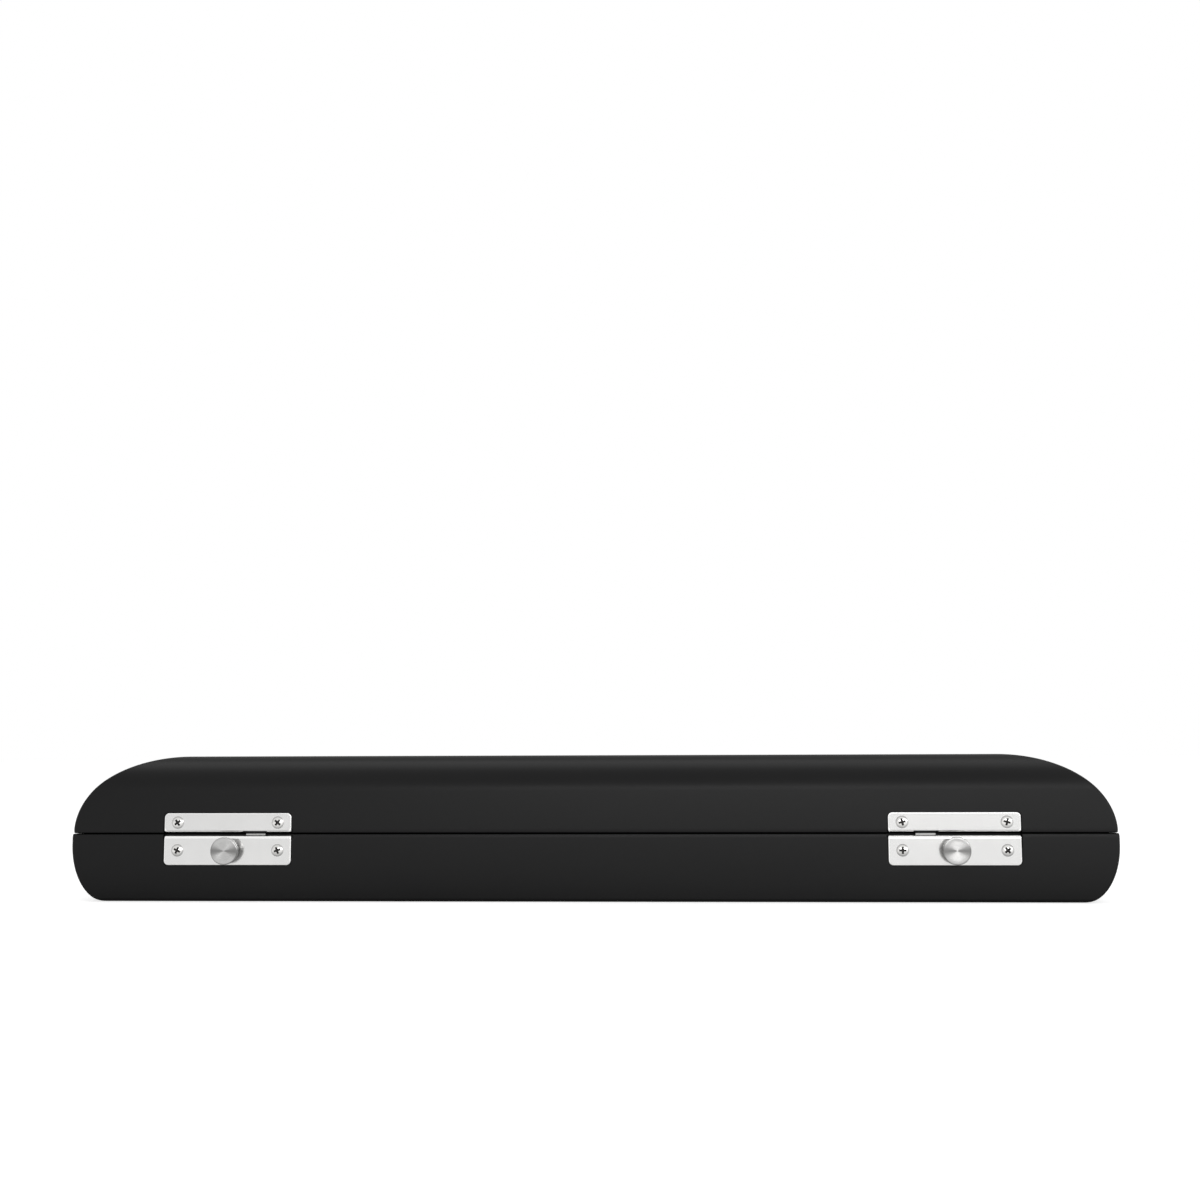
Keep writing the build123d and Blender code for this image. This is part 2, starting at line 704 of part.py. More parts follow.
with BuildPart() as lid_pad:
    with BuildSketch(Plane.XY.offset(pad_top - pad_thickness)):
        RectangleRounded(
            board_length + 2 * pad_overhang, board_width + 2 * pad_overhang, board_corner_radius + pad_overhang
        )
    extrude(amount=pad_thickness)
    fillet(lid_pad.faces().sort_by(Axis.Z)[0].edges(), pad_edge_radius)
finish(lid_pad, "lid_pad")
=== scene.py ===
import json
import math

import bmesh
import bpy
from mathutils import Matrix, Vector, noise

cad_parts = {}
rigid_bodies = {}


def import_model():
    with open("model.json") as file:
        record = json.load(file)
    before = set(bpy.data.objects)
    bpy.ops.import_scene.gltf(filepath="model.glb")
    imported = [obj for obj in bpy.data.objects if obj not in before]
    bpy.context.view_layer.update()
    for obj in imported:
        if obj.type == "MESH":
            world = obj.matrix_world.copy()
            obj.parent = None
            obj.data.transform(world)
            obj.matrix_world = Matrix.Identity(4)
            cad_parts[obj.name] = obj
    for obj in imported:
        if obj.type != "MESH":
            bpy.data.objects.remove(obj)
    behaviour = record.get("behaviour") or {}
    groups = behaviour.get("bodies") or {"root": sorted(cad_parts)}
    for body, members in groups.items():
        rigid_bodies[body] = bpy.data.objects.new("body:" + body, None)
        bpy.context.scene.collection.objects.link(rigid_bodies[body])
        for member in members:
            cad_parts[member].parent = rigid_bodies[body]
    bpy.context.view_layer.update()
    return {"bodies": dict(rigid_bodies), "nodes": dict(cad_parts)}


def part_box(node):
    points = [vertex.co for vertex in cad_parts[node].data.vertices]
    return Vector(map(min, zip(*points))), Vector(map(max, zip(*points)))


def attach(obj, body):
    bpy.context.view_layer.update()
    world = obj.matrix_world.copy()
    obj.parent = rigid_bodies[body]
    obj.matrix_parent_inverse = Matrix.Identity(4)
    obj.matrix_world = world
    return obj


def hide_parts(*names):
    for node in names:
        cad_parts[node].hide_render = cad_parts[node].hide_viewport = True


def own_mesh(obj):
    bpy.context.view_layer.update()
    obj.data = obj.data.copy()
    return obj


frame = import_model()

mm = 0.001
weld = 1e-6         # points closer than this are one, in metres
nodes = frame["nodes"]
kept = set(nodes.values()) | set(frame["bodies"].values())
for spare in [o for o in bpy.data.objects if o not in kept]:
    bpy.data.objects.remove(spare, do_unlink=True)
noise.seed_set(7)
print("frame loaded:", len(nodes), "nodes")


# helpers for shader nodes

def addNode(tree, kind, settings=None, values=None):
    made = tree.nodes.new(kind)
    for name, value in (settings or {}).items():
        setattr(made, name, value)
    for socket, value in (values or {}).items():
        made.inputs[socket].default_value = value
    return made


def join(tree, source, output, target, socket):
    tree.links.new(source.outputs[output], target.inputs[socket])


def blankGroup(name, inputs, outputs):
    group = bpy.data.node_groups.new(name, "ShaderNodeTree")
    for label, kind, value in inputs:
        made = group.interface.new_socket(name=label, in_out="INPUT", socket_type=kind)
        if value is not None:
            made.default_value = value
    for label, kind in outputs:
        group.interface.new_socket(name=label, in_out="OUTPUT", socket_type=kind)
    return group, group.nodes.new("NodeGroupInput"), group.nodes.new("NodeGroupOutput")


# effects that several finishes share

def makeGrainGroup():
    group, start, end = blankGroup(
        "mouldedGrain",
        [("Vector", "NodeSocketVector", None), ("Scale", "NodeSocketFloat", 900.0)],
        [("Height", "NodeSocketFloat"), ("Mask", "NodeSocketFloat")],
    )
    cells = addNode(group, "ShaderNodeTexVoronoi", {"feature": "SMOOTH_F1"}, {"Smoothness": 0.6})
    soft = addNode(group, "ShaderNodeTexNoise", None, {"Detail": 4.0, "Roughness": 0.6})
    both = addNode(group, "ShaderNodeMath", {"operation": "MULTIPLY_ADD"}, {1: 0.6})
    for texture in (cells, soft):
        join(group, start, "Vector", texture, "Vector")
        join(group, start, "Scale", texture, "Scale")
    join(group, cells, "Distance", both, 0)
    join(group, soft, "Fac", both, 2)
    join(group, both, "Value", end, "Height")
    join(group, soft, "Fac", end, "Mask")
    return group


def makeHandlingGroup():
    # faint smears, as handling leaves them
    group, start, end = blankGroup(
        "handlingMarks",
        [("Vector", "NodeSocketVector", None), ("Scale", "NodeSocketFloat", 14.0)],
        [("Smears", "NodeSocketFloat")],
    )
    stretch = addNode(group, "ShaderNodeMapping", None, {"Scale": (0.35, 1.0, 1.0)})
    smear = addNode(group, "ShaderNodeTexNoise", None, {"Detail": 6.0, "Roughness": 0.62, "Distortion": 0.6})
    smearRange = addNode(group, "ShaderNodeMapRange", None, {"From Min": 0.42, "From Max": 0.72})
    join(group, start, "Vector", stretch, "Vector")
    join(group, stretch, "Vector", smear, "Vector")
    join(group, start, "Scale", smear, "Scale")
    join(group, smear, "Fac", smearRange, "Value")
    join(group, smearRange, "Result", end, "Smears")
    return group


def makeBrushGroup():
    # fine drawn lines along X, as rolled sheet shows them
    group, start, end = blankGroup(
        "rolledLines",
        [("Vector", "NodeSocketVector", None), ("Scale", "NodeSocketFloat", 1.0)],
        [("Lines", "NodeSocketFloat"), ("Clouds", "NodeSocketFloat")],
    )
    stretch = addNode(group, "ShaderNodeMapping", None, {"Scale": (60.0, 3500.0, 3500.0)})
    lines = addNode(group, "ShaderNodeTexNoise", None, {"Detail": 3.0, "Roughness": 0.55})
    clouds = addNode(group, "ShaderNodeTexNoise", None, {"Scale": 120.0, "Detail": 4.0, "Roughness": 0.6})
    join(group, start, "Vector", stretch, "Vector")
    join(group, stretch, "Vector", lines, "Vector")
    join(group, start, "Scale", lines, "Scale")
    join(group, start, "Vector", clouds, "Vector")
    join(group, lines, "Fac", end, "Lines")
    join(group, clouds, "Fac", end, "Clouds")
    return group


def makePlushGroup():
    # short pile: fine fibres, and broad patches where the nap lies the other way
    group, start, end = blankGroup(
        "plushPile",
        [("Vector", "NodeSocketVector", None)],
        [("Height", "NodeSocketFloat"), ("Nap", "NodeSocketFloat")],
    )
    fibres = addNode(group, "ShaderNodeTexNoise", None, {"Scale": 2200.0, "Detail": 3.0, "Roughness": 0.7})
    tufts = addNode(group, "ShaderNodeTexNoise", None, {"Scale": 420.0, "Detail": 3.0})
    patches = addNode(group, "ShaderNodeTexNoise", None, {"Scale": 26.0, "Detail": 4.0, "Distortion": 1.2})
    both = addNode(group, "ShaderNodeMath", {"operation": "MULTIPLY_ADD"}, {1: 0.5})
    specked = addNode(group, "ShaderNodeMath", {"operation": "MULTIPLY_ADD"}, {1: 0.9})
    napRange = addNode(group, "ShaderNodeMapRange", None, {"From Min": 0.85, "From Max": 1.15})
    for texture in (fibres, tufts, patches):
        join(group, start, "Vector", texture, "Vector")
    join(group, fibres, "Fac", both, 0)
    join(group, tufts, "Fac", both, 2)
    join(group, both, "Value", end, "Height")
    join(group, tufts, "Fac", specked, 0)
    join(group, patches, "Fac", specked, 2)
    join(group, specked, "Value", napRange, "Value")
    join(group, napRange, "Result", end, "Nap")
    return group


plateForm = {"x": 0.1455, "halfWidth": 0.026, "corner": 0.0018, "border": 0.00045}     # metres


def makeBorderGroup():
    # 1 along the outline of a latch's plate, whose corners are round; the plate's edge highlight is painted
    # there
    group, start, end = blankGroup(
        "plateBorder",
        [("Vector", "NodeSocketVector", None), ("Middle", "NodeSocketFloat", 0.02),
         ("Half Height", "NodeSocketFloat", 0.006)],
        [("Border", "NodeSocketFloat")],
    )

    def solve(operation, first, second=None):
        made = addNode(group, "ShaderNodeMath", {"operation": operation})
        for place, value in enumerate((first, second)):
            if isinstance(value, float):
                made.inputs[place].default_value = value
            elif value is not None:
                group.links.new(value, made.inputs[place])
        return made.outputs["Value"]

    split = addNode(group, "ShaderNodeSeparateXYZ")
    join(group, start, "Vector", split, "Vector")
    corner = plateForm["corner"]
    away = solve("SUBTRACT", solve("ABSOLUTE", split.outputs["X"]), plateForm["x"])
    fromMiddle = solve("ABSOLUTE", away)
    above = solve("ABSOLUTE", solve("SUBTRACT", split.outputs["Z"], start.outputs["Middle"]))
    across = solve("SUBTRACT", fromMiddle, plateForm["halfWidth"] - corner)
    up = solve("ADD", solve("SUBTRACT", above, start.outputs["Half Height"]), corner)
    straight = solve("MINIMUM", solve("MAXIMUM", across, up), 0.0)
    acrossOut = solve("POWER", solve("MAXIMUM", across, 0.0), 2.0)
    upOut = solve("POWER", solve("MAXIMUM", up, 0.0), 2.0)
    distance = solve("ADD", straight, solve("SQRT", solve("ADD", acrossOut, upOut)))
    border = addNode(group, "ShaderNodeMapRange", None, {
        "From Min": corner - plateForm["border"], "From Max": corner - plateForm["border"] / 2,
    })
    group.links.new(distance, border.inputs["Value"])
    join(group, border, "Result", end, "Border")
    return group


borderGroup = makeBorderGroup()
grainGroup = makeGrainGroup()
handlingGroup = makeHandlingGroup()
brushGroup = makeBrushGroup()
plushGroup = makePlushGroup()


# materials

def blankMaterial(name):
    material = bpy.data.materials.new(name)
    material.use_nodes = True
    tree = material.node_tree
    shader = tree.nodes["Principled BSDF"]
    places = addNode(tree, "ShaderNodeTexCoord")
    return material, tree, shader, places


def useGroup(tree, group, places, values=None):
    made = addNode(tree, "ShaderNodeGroup", {"node_tree": group}, values)
    join(tree, places, "Object", made, "Vector")
    return made


def addColours(tree, factor, output, low, high):
    mix = addNode(tree, "ShaderNodeMix", {"data_type": "RGBA"})
    mix.inputs[6].default_value = (*low, 1)
    mix.inputs[7].default_value = (*high, 1)
    join(tree, factor, output, mix, 0)
    return mix


def addOver(tree, mask, output, under, colour):
    # lays a plain colour over another where the mask is 1
    mix = addNode(tree, "ShaderNodeMix", {"data_type": "RGBA"})
    mix.inputs[7].default_value = (*colour, 1)
    join(tree, mask, output, mix, 0)
    join(tree, under, 2, mix, 6)
    return mix


def addRange(tree, source, output, low, high, fromLow=0.0, fromHigh=1.0):
    made = addNode(tree, "ShaderNodeMapRange", None,
                   {"From Min": fromLow, "From Max": fromHigh, "To Min": low, "To Max": high})
    join(tree, source, output, made, "Value")
    return made


def addBump(tree, source, output, strength, distance, shader):
    bump = addNode(tree, "ShaderNodeBump", None, {"Strength": strength, "Distance": distance})
    join(tree, source, output, bump, "Height")
    join(tree, bump, "Normal", shader, "Normal")


shellFinish = {
    "colour": (0.0058, 0.0058, 0.0060),
    "smeared": (0.0074, 0.0074, 0.0076),
    "roughness": (0.34, 0.42),
    "specular": 0.16,
    "grainScale": 1400.0,
    "grainStrength": 0.12,
    "grainDepth": 0.00002,
    "smearScale": 11.0,
    "seam": 0.02715,            # height of the gap's middle, metres
    # painted shade in the seam: how far from the gap's middle it fades out, and its near-black colour
    "seamFade": (0.00025, 0.00055),
    "seamColour": (0.0005, 0.0005, 0.0005),
}


def makeShellBlack():
    material, tree, shader, places = blankMaterial("shellBlack")
    grain = useGroup(tree, grainGroup, places, {"Scale": shellFinish["grainScale"]})
    marks = useGroup(tree, handlingGroup, places, {"Scale": shellFinish["smearScale"]})
    colour = addColours(tree, marks, "Smears", shellFinish["colour"], shellFinish["smeared"])
    rough = addRange(tree, marks, "Smears", *shellFinish["roughness"])
    # painted shade in the seam: within about 0.25 to 0.55 mm of the gap's middle the shell is painted near
    # black and made black metal, so that it reflects nothing there
    split = addNode(tree, "ShaderNodeSeparateXYZ")
    join(tree, places, "Object", split, "Vector")
    offSeam = addNode(tree, "ShaderNodeMath", {"operation": "SUBTRACT"}, {1: shellFinish["seam"]})
    join(tree, split, "Z", offSeam, 0)
    away = addNode(tree, "ShaderNodeMath", {"operation": "ABSOLUTE"})
    join(tree, offSeam, "Value", away, 0)
    seam = addRange(tree, away, "Value", 1.0, 0.0, *shellFinish["seamFade"])
    colour = addOver(tree, seam, "Result", colour, shellFinish["seamColour"])
    join(tree, colour, 2, shader, "Base Color")
    join(tree, rough, "Result", shader, "Roughness")
    join(tree, seam, "Result", shader, "Metallic")
    shader.inputs["Specular IOR Level"].default_value = shellFinish["specular"]
    addBump(tree, grain, "Height", shellFinish["grainStrength"], shellFinish["grainDepth"], shader)
    return material


brushRelief = (0.08, 0.00001)       # a relief is a bump's strength and depth
hingeFinish = {"colours": ((0.70, 0.69, 0.67), (0.78, 0.77, 0.75)), "roughness": (0.16, 0.26)}
worksFinish = {"colours": ((0.42, 0.42, 0.43), (0.52, 0.52, 0.53)), "roughness": (0.28, 0.42)}


def makeSheetMetal(name, finish):
    material, tree, shader, places = blankMaterial(name)
    lines = useGroup(tree, brushGroup, places, {"Scale": 1.0})
    colour = addColours(tree, lines, "Clouds", *finish["colours"])
    rough = addRange(tree, lines, "Lines", *finish["roughness"], 0.3, 0.7)
    join(tree, colour, 2, shader, "Base Color")
    join(tree, rough, "Result", shader, "Roughness")
    shader.inputs["Metallic"].default_value = 1.0
    addBump(tree, lines, "Lines", *brushRelief, shader)
    return material


# painted light and shade on the plates: the bright edge highlight, the darker tone behind the plate (partly
# painted shade) and the near-black shadow at the tongue's root
plateFinish = {
    "face": ((0.57, 0.568, 0.562), (0.63, 0.627, 0.62)), "polished": (0.90, 0.896, 0.888),
    "behind": (0.36, 0.358, 0.352), "root": (0.012, 0.012, 0.012), "roughness": (0.17, 0.42),
}
outOfReach = (0.99, 1.0)      # heights that no plate comes to, where a plate has no bend or tongue
latchPlateFinish = {
    "middle": 0.02045, "halfHeight": 0.00595, "bend": (0.02505, 0.02530), "behind": (-0.05335, -0.05310),
    "root": outOfReach,
}
strikePlateFinish = {
    "middle": 0.03155, "halfHeight": 0.0038, "bend": outOfReach, "behind": (-0.05335, -0.05310),
    "root": (0.02685, 0.02715),
}


def makePlateMetal(name, finish):
    # a satin face with a painted highlight along its outline and round its bend; behind its back plane it is
    # rougher and painted darker, an unpolished finish with painted shade in the recess; the tongue's root
    # has a painted shadow
    material, tree, shader, places = blankMaterial(name)
    lines = useGroup(tree, brushGroup, places, {"Scale": 1.0})
    size = {"Middle": finish["middle"], "Half Height": finish["halfHeight"]}
    border = useGroup(tree, borderGroup, places, size)
    split = addNode(tree, "ShaderNodeSeparateXYZ")
    join(tree, places, "Object", split, "Vector")
    bend = addRange(tree, split, "Z", 0.0, 1.0, *finish["bend"])
    polished = addNode(tree, "ShaderNodeMath", {"operation": "MAXIMUM"})
    join(tree, border, "Border", polished, 0)
    join(tree, bend, "Result", polished, 1)
    behind = addRange(tree, split, "Y", 0.0, 1.0, *finish["behind"])
    root = addRange(tree, split, "Z", 0.0, 1.0, *finish["root"])
    dark = addNode(tree, "ShaderNodeMath", {"operation": "MULTIPLY"})
    join(tree, behind, "Result", dark, 0)
    join(tree, root, "Result", dark, 1)
    colour = addColours(tree, lines, "Clouds", *plateFinish["face"])
    for mask, output, tone in (
        (polished, "Value", "polished"), (behind, "Result", "behind"), (dark, "Value", "root"),
    ):
        colour = addOver(tree, mask, output, colour, plateFinish[tone])
    rough = addRange(tree, behind, "Result", *plateFinish["roughness"])
    join(tree, colour, 2, shader, "Base Color")
    join(tree, rough, "Result", shader, "Roughness")
    shader.inputs["Metallic"].default_value = 1.0
    addBump(tree, lines, "Lines", *brushRelief, shader)
    return material


# the knob's painted highlight above and below its axis, and painted shade to its sides
turnedFinish = {
    "axisX": 0.1455, "axisZ": 0.02045, "sides": (0.18, 0.179, 0.176), "ends": (0.44, 0.437, 0.432),
    "spread": 0.75, "roughness": (0.16, 0.26), "relief": (0.05, 0.00001),
}


def makeTurnedMetal():
    # painted highlight and shade: a spun face throws the light up and down from its centre and is darker to
    # its two sides, and here that is painted into its colour, bright above and below the axis and dark to
    # either side
    material, tree, shader, places = blankMaterial("turnedNickel")
    lines = useGroup(tree, brushGroup, places, {"Scale": 1.0})
    split = addNode(tree, "ShaderNodeSeparateXYZ")
    across = addNode(tree, "ShaderNodeMath", {"operation": "ABSOLUTE"})
    fromAxis = addNode(tree, "ShaderNodeMath", {"operation": "SUBTRACT"}, {1: turnedFinish["axisX"]})
    up = addNode(tree, "ShaderNodeMath", {"operation": "SUBTRACT"}, {1: turnedFinish["axisZ"]})
    around = addNode(tree, "ShaderNodeMath", {"operation": "ARCTAN2"})
    height = addNode(tree, "ShaderNodeMath", {"operation": "SINE"})
    size = addNode(tree, "ShaderNodeMath", {"operation": "ABSOLUTE"})
    join(tree, places, "Object", split, "Vector")
    join(tree, split, "X", across, 0)
    join(tree, across, "Value", fromAxis, 0)
    join(tree, split, "Z", up, 0)
    join(tree, up, "Value", around, 0)
    join(tree, fromAxis, "Value", around, 1)
    join(tree, around, "Value", height, 0)
    join(tree, height, "Value", size, 0)
    highlightSweep = addRange(tree, size, "Value", 0.0, 1.0, 0.0, turnedFinish["spread"])
    highlightSweep.interpolation_type = "SMOOTHSTEP"
    colour = addColours(tree, highlightSweep, "Result", turnedFinish["sides"], turnedFinish["ends"])
    rough = addRange(tree, lines, "Clouds", *turnedFinish["roughness"])
    join(tree, colour, 2, shader, "Base Color")
    join(tree, rough, "Result", shader, "Roughness")
    shader.inputs["Metallic"].default_value = 1.0
    addBump(tree, lines, "Clouds", *turnedFinish["relief"], shader)
    return material


# the cross's dark colour is painted shade in the recess, with grime
screwFinish = {
    "head": (0.70, 0.695, 0.68), "cross": (0.030, 0.029, 0.028), "fade": (-0.00035, 0.00030),
    "roughness": (0.14, 0.30), "relief": (0.15, 0.00002),
}


def makeScrewMetal(name, faceY):
    # the floor of the cross lies deeper than the head's rim, and is painted dark there: painted shade in the
    # recess, with grime
    material, tree, shader, places = blankMaterial(name)
    lines = useGroup(tree, brushGroup, places, {"Scale": 1.0})
    split = addNode(tree, "ShaderNodeSeparateXYZ")
    size = addNode(tree, "ShaderNodeMath", {"operation": "ABSOLUTE"})
    join(tree, places, "Object", split, "Vector")
    join(tree, split, "Y", size, 0)
    floor, face = screwFinish["fade"]
    depth = addRange(tree, size, "Value", 1.0, 0.0, faceY + floor, faceY + face)
    colour = addColours(tree, depth, "Result", screwFinish["head"], screwFinish["cross"])
    rough = addRange(tree, lines, "Clouds", *screwFinish["roughness"])
    join(tree, colour, 2, shader, "Base Color")
    join(tree, rough, "Result", shader, "Roughness")
    shader.inputs["Metallic"].default_value = 1.0
    addBump(tree, lines, "Clouds", *screwFinish["relief"], shader)
    return material


plushFinish = {
    "tray": ((0.008, 0.013, 0.050), (0.014, 0.022, 0.080)),
    "pad": ((0.009, 0.014, 0.052), (0.015, 0.024, 0.084)),
    "roughness": (0.82, 0.95), "sheen": 0.35, "sheenRoughness": 0.45, "sheenTint": (0.30, 0.38, 0.75),
    "specular": 0.15, "relief": (0.7, 0.0003),
}


def makePlush(name, dark, light):
    material, tree, shader, places = blankMaterial(name)
    pile = useGroup(tree, plushGroup, places)
    colour = addColours(tree, pile, "Nap", dark, light)
    rough = addRange(tree, pile, "Nap", *plushFinish["roughness"])
    join(tree, colour, 2, shader, "Base Color")
    join(tree, rough, "Result", shader, "Roughness")
    shader.inputs["Sheen Weight"].default_value = plushFinish["sheen"]
    shader.inputs["Sheen Roughness"].default_value = plushFinish["sheenRoughness"]
    shader.inputs["Sheen Tint"].default_value = (*plushFinish["sheenTint"], 1)
    shader.inputs["Specular IOR Level"].default_value = plushFinish["specular"]
    addBump(tree, pile, "Height", *plushFinish["relief"], shader)
    return material


boardFinish = {
    "colours": ((0.085, 0.078, 0.070), (0.125, 0.113, 0.100)), "roughness": 0.85, "relief": (0.3, 0.0001),
}


def makeBoard():
    material, tree, shader, places = blankMaterial("padBoard")
    pile = useGroup(tree, plushGroup, places)
    colour = addColours(tree, pile, "Nap", *boardFinish["colours"])
    join(tree, colour, 2, shader, "Base Color")
    shader.inputs["Roughness"].default_value = boardFinish["roughness"]
    addBump(tree, pile, "Height", *boardFinish["relief"], shader)
    return material


shellBlack = makeShellBlack()
latchNickel = makePlateMetal("latchNickel", latchPlateFinish)
strikeNickel = makePlateMetal("strikeNickel", strikePlateFinish)
knobNickel = makeTurnedMetal()
hingeNickel = makeSheetMetal("hingeNickel", hingeFinish)
worksSteel = makeSheetMetal("worksSteel", worksFinish)
frontScrews = makeScrewMetal("frontScrewNickel", 0.0544)      # how far out the face that they hold lies
rearScrews = makeScrewMetal("rearScrewNickel", 0.0550)
trayPlush = makePlush("trayPlush", *plushFinish["tray"])
padPlush = makePlush("padPlush", *plushFinish["pad"])
padBoard = makeBoard()

nodeFinishes = {
    "latch_plate": latchNickel, "strike_plate": strikeNickel, "latch_bolt": worksSteel,
    "latch_knob": knobNickel, "latch_spring": worksSteel, "latch_screws": frontScrews,
    "strike_screws": frontScrews, "hinge_base_leaf": hingeNickel, "hinge_lid_leaf": hingeNickel,
    "hinge_pin": worksSteel, "hinge_base_screws": rearScrews, "hinge_lid_screws": rearScrews,
    "base_shell": shellBlack, "lid_shell": shellBlack, "lid_pad_board": padBoard, "lid_pad": padPlush,
}
for name, node in nodes.items():
    finish = nodeFinishes.get(name.replace("left_", "").replace("right_", ""), trayPlush)
    if not node.material_slots:
        node.data.materials.append(None)
    for held in node.material_slots:
        held.material = finish
print("materials made:", len(bpy.data.materials))


# helpers for meshes

def makePiece(name, form, material, smooth=True):
    bmesh.ops.recalc_face_normals(form, faces=form.faces)
    mesh = bpy.data.meshes.new(name)
    form.to_mesh(mesh)
    form.free()
    mesh.materials.append(material)
    piece = bpy.data.objects.new(name, mesh)
    bpy.context.scene.collection.objects.link(piece)
    if smooth:
        mesh.shade_smooth()
    return piece


def applyAll(piece):
    graph = bpy.context.evaluated_depsgraph_get()
    done = bpy.data.meshes.new_from_object(piece.evaluated_get(graph), depsgraph=graph)
    old = piece.data
    piece.modifiers.clear()
    piece.data = done
    done.name = piece.name
    bpy.data.meshes.remove(old)


def ringPlaces(ring, cornerSteps):
    halfX, halfY, z, radius = ring
    places = []
    for quarter, (signX, signY) in enumerate(((1, 1), (-1, 1), (-1, -1), (1, -1))):
        for step in range(cornerSteps + 1):
            turn = math.radians(90 * quarter + 90 * step / cornerSteps)
            places.append(Vector((
                signX * (halfX - radius) + radius * math.cos(turn),
                signY * (halfY - radius) + radius * math.sin(turn), z)) * mm)
    return places


def ringForm(rings, cornerSteps):
    # a rounded rectangle, extruded from ring to ring and closed at both ends
    form = bmesh.new()
    loop = bmesh.ops.create_circle(form, cap_ends=True, segments=4 * (cornerSteps + 1), radius=1)["verts"]
    for vertex, place in zip(loop, ringPlaces(rings[0], cornerSteps)):
        vertex.co = place
    edges = [edge for edge in form.edges]
    for ring in rings[1:]:
        made = bmesh.ops.extrude_edge_only(form, edges=edges)["geom"]
        fresh = {item for item in made if isinstance(item, bmesh.types.BMVert)}
        loop = [next(e.other_vert(v) for e in v.link_edges if e.other_vert(v) in fresh) for v in loop]
        for vertex, place in zip(loop, ringPlaces(ring, cornerSteps)):
            vertex.co = place
        edges = [item for item in made if isinstance(item, bmesh.types.BMEdge)
                 and item.verts[0] in fresh and item.verts[1] in fresh]
    bmesh.ops.edgeloop_fill(form, edges=edges)
    return form


def addBox(form, x, y, z, roundAxis=None, radius=0.0, corners=None):
    # a box between two limits on each axis, in mm, with some of its edges rounded
    low = Vector((min(x), min(y), min(z))) * mm
    high = Vector((max(x), max(y), max(z))) * mm
    made = bmesh.ops.create_cube(form, size=1)["verts"]
    bmesh.ops.scale(form, vec=high - low, verts=made)
    bmesh.ops.translate(form, vec=(low + high) / 2, verts=made)
    if roundAxis is None:
        return
    edges = []
    for edge in {e for v in made for e in v.link_edges}:
        along = edge.verts[1].co - edge.verts[0].co
        middle = (edge.verts[0].co + edge.verts[1].co) / 2
        if abs(along.normalized()[roundAxis]) > 0.9 and (corners is None or corners(middle / mm)):
            edges.append(edge)
    bmesh.ops.bevel(form, geom=edges, offset=radius * mm, affect="EDGES", segments=6,
                    profile=0.5, material=-1)


def cutWith(piece, operation, form):
    tool = makePiece("tool", form, shellBlack, False)
    change = piece.modifiers.new("cut", "BOOLEAN")
    change.operation = operation
    change.solver = "EXACT"
    change.use_self = True
    change.object = tool
    applyAll(piece)
    bpy.data.objects.remove(tool, do_unlink=True)


def evenNormals(piece):
    change = piece.modifiers.new("normals", "WEIGHTED_NORMAL")
    change.weight = shading["normalWeight"]
    change.keep_sharp = True
    applyAll(piece)


# shells
latch = {"x": 145.5, "seatY": -53.4, "knobZ": 20.45, "cornerRadius": 2.3}
hingeX = 130.0
shading = {"sharpAngle": 35, "normalWeight": 80}
rimForm = {"inwards": 0.3, "tall": 1.8, "clear": 0.1, "steps": 12}     # rims roll in a little at the seam
lidForm = {
    "halfX": 209.5, "halfY": 54.0, "rim": 27.3, "height": 30.9, "endLength": 43.3,
    "shoulder": 14.0, "wall": 2.5, "edge": 1.4, "innerCorner": 0.8, "cornerSteps": 6, "crown": 1.0,
    "endSteps": 72, "shoulderSteps": 30, "leastStep": 0.002,
}
def quarterHeights(start, height, steps):
    return [start + height * math.sin(math.radians(90 * i / steps)) for i in range(steps + 1)]


def lidOutline(z, inset=0.0):
    f = lidForm
    height = f["height"] - inset
    shoulder = f["shoulder"] - inset
    along = math.sqrt(max(0, 1 - ((z - f["rim"]) / height) ** 2))
    halfX = f["halfX"] - f["endLength"] + (f["endLength"] - inset) * along
    rise = max(0, z - (f["rim"] + height - shoulder)) / shoulder
    halfY = f["halfY"] - inset - shoulder + shoulder * math.sqrt(max(0, 1 - rise ** 2))
    halfY -= f["crown"] * ((z - f["rim"]) / f["height"]) ** 2 if inset == 0 else 0
    return halfX, halfY


def lidWall(inset, radius, lowest):
    # rings of the lid's outside, or of its hollow, from the rim to the top
    f = lidForm
    height = f["height"] - inset
    shoulder = f["shoulder"] - inset
    heights = quarterHeights(f["rim"], height, f["endSteps"])
    heights += quarterHeights(f["rim"] + height - shoulder, shoulder, f["shoulderSteps"])
    rings = []
    last = lowest
    for z in sorted(heights):
        if z <= last + f["leastStep"]:
            continue
        last = z
        rings.append((*lidOutline(z, inset), z, radius))
    return rings


def rimRound(outline, z, direction, radius):
    rings = []
    for i in range(rimForm["steps"] + 1):
        turn = math.radians(90 * i / rimForm["steps"])
        back = rimForm["inwards"] * (1 - math.sin(turn))
        height = z + direction * rimForm["tall"] * (1 - math.cos(turn))
        halfX, halfY = outline(height)
        rings.append((halfX - back, halfY - back, height, radius))
    return rings


def addFittings(piece, fittings, rounded):
    # thicker wall behind the plates and hinges, then the latches' seats, slots and channels
    bosses = bmesh.new()
    cuts = bmesh.new()
    for side in (-1, 1):
        for name, (x, y, z) in fittings.items():
            middle = hingeX if name == "hingeBoss" else latch["x"]
            about = [side * (middle + value) for value in x]
            corners = (1, latch["cornerRadius"], rounded) if name == "plateSeat" else ()
            addBox(bosses if name.endswith("Boss") else cuts, about, y, z, *corners)
    cutWith(piece, "UNION", bosses)
    cutWith(piece, "DIFFERENCE", cuts)
    piece.data.shade_smooth()
    piece.data.set_sharp_from_angle(angle=math.radians(shading["sharpAngle"]))
    evenNormals(piece)


